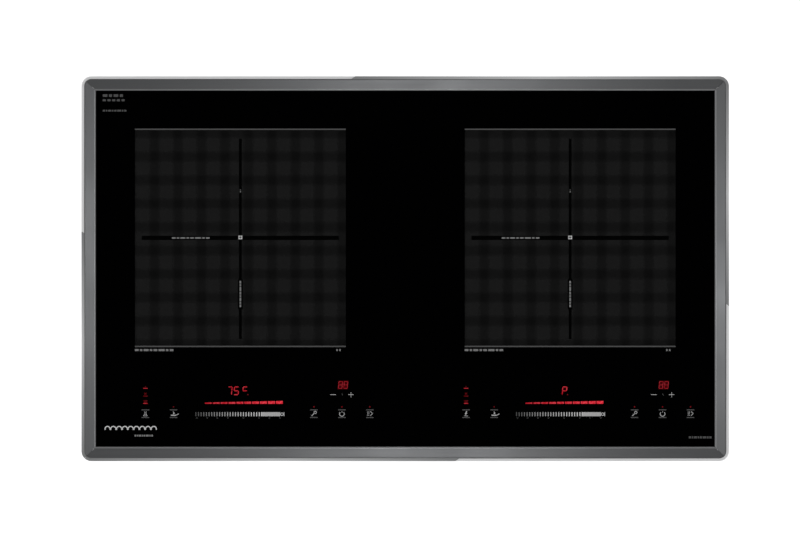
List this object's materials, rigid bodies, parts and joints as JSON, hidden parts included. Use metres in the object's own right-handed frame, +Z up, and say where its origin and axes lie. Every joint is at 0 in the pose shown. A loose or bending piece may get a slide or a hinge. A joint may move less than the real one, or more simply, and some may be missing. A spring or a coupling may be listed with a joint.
{
  "type": "electric induction cooktop",
  "caption": "Drop-in induction cooktop: black glass with square zones side by side and touch controls, a mitred dark metal frame, a vented steel casing, fans and swing-out worktop clamps.",
  "frame": {"origin": "middle of the footprint, on the plane that the rubber feet stand on", "axes": "+X along the length to the cook's right, +Y to the back, +Z up out of the glass"},
  "size_m": [0.74, 0.44, 0.0789],
  "materials": {
    "black_glass": "polished black glass ceramic with a fine grey print",
    "gunmetal_aluminium": "satin, finely brushed, dark grey anodised",
    "polished_trim": "polished bright metal",
    "silicone": "matt black silicone rubber",
    "foam_rubber": "closed-cell black foam rubber",
    "zinc_sheet": "zinc-plated sheet steel with a faint spangle",
    "plated_steel": "bright plated steel",
    "black_plastic": "black moulded plastic with a fine texture",
    "bare_aluminium": "bare aluminium",
    "circuit_board": "green solder resist",
    "ferrite": "dark grey sintered ferrite",
    "copper_litz": "lacquered copper litz wire",
    "mica": "pale flaky mica board",
    "display_window": "dark red diffusing window",
    "red_light": "lit red segments seen through the glass",
    "grey_print": "light grey ceramic print on the glass"
  },
  "bodies": {
    "casing": {"glass_plate": "black_glass", "glass_bond": "silicone", "base_tray": "zinc_sheet", "connection_plate": "zinc_sheet", "cable_gland": "black_plastic", "coil_plate": "bare_aluminium", "filter_board": "circuit_board", "control_tray": "black_plastic", "corner_trim_back_left": "polished_trim", "corner_trim_front_right": "polished_trim", "frame_front": "gunmetal_aluminium", "worktop_seal_front": "foam_rubber", "frame_back": "gunmetal_aluminium", "worktop_seal_back": "foam_rubber", "frame_left": "gunmetal_aluminium", "worktop_seal_left": "foam_rubber", "frame_right": "gunmetal_aluminium", "worktop_seal_right": "foam_rubber", "corner_key_front_left": "bare_aluminium", "foot_front_left": "silicone", "clamp_bracket_front_left": "zinc_sheet", "clamp_screw_front_left": "plated_steel", "corner_key_front_right": "bare_aluminium", "foot_front_right": "silicone", "clamp_bracket_front_right": "zinc_sheet", "clamp_screw_front_right": "plated_steel", "corner_key_back_left": "bare_aluminium", "foot_back_left": "silicone", "clamp_bracket_back_left": "zinc_sheet", "clamp_screw_back_left": "plated_steel", "corner_key_back_right": "bare_aluminium", "foot_back_right": "silicone", "clamp_bracket_back_right": "zinc_sheet", "clamp_screw_back_right": "plated_steel", "ferrite_star_left": "ferrite", "coil_carrier_left": "black_plastic", "coil_winding_left": "copper_litz", "mica_sheet_left": "mica", "temperature_sensor_left": "bare_aluminium", "fan_housing_left": "black_plastic", "heat_sink_left": "bare_aluminium", "power_board_left": "circuit_board", "touch_board_left": "circuit_board", "led_display_left": "display_window", "ferrite_star_right": "ferrite", "coil_carrier_right": "black_plastic", "coil_winding_right": "copper_litz", "mica_sheet_right": "mica", "temperature_sensor_right": "bare_aluminium", "fan_housing_right": "black_plastic", "heat_sink_right": "bare_aluminium", "power_board_right": "circuit_board", "touch_board_right": "circuit_board", "led_display_right": "display_window"},
    "fan_rotor_left_body": {"fan_rotor_left": "black_plastic"},
    "fan_rotor_right_body": {"fan_rotor_right": "black_plastic"},
    "clamp_claw_front_left_body": {"clamp_claw_front_left": "plated_steel"},
    "clamp_claw_front_right_body": {"clamp_claw_front_right": "plated_steel"},
    "clamp_claw_back_left_body": {"clamp_claw_back_left": "plated_steel"},
    "clamp_claw_back_right_body": {"clamp_claw_back_right": "plated_steel"}
  },
  "joints": [
    {"name": "fan_left_spin", "type": "hinge", "parent": "casing", "child": "fan_rotor_left_body", "pos_m": [-0.1882, -0.09, 0.022], "axis": [0, 0, 1], "continuous": true},
    {"name": "fan_right_spin", "type": "hinge", "parent": "casing", "child": "fan_rotor_right_body", "pos_m": [0.1882, -0.09, 0.022], "axis": [0, 0, 1], "continuous": true},
    {"name": "clamp_front_left_swing", "type": "hinge", "parent": "casing", "child": "clamp_claw_front_left_body", "pos_m": [-0.346, -0.125, 0.03675], "axis": [0, 0, 1], "range_deg": [0, 90]},
    {"name": "clamp_front_right_swing", "type": "hinge", "parent": "casing", "child": "clamp_claw_front_right_body", "pos_m": [0.346, -0.125, 0.03675], "axis": [0, 0, -1], "range_deg": [0, 90]},
    {"name": "clamp_back_left_swing", "type": "hinge", "parent": "casing", "child": "clamp_claw_back_left_body", "pos_m": [-0.346, 0.125, 0.03675], "axis": [0, 0, -1], "range_deg": [0, 90]},
    {"name": "clamp_back_right_swing", "type": "hinge", "parent": "casing", "child": "clamp_claw_back_right_body", "pos_m": [0.346, 0.125, 0.03675], "axis": [0, 0, 1], "range_deg": [0, 90]}
  ]
}
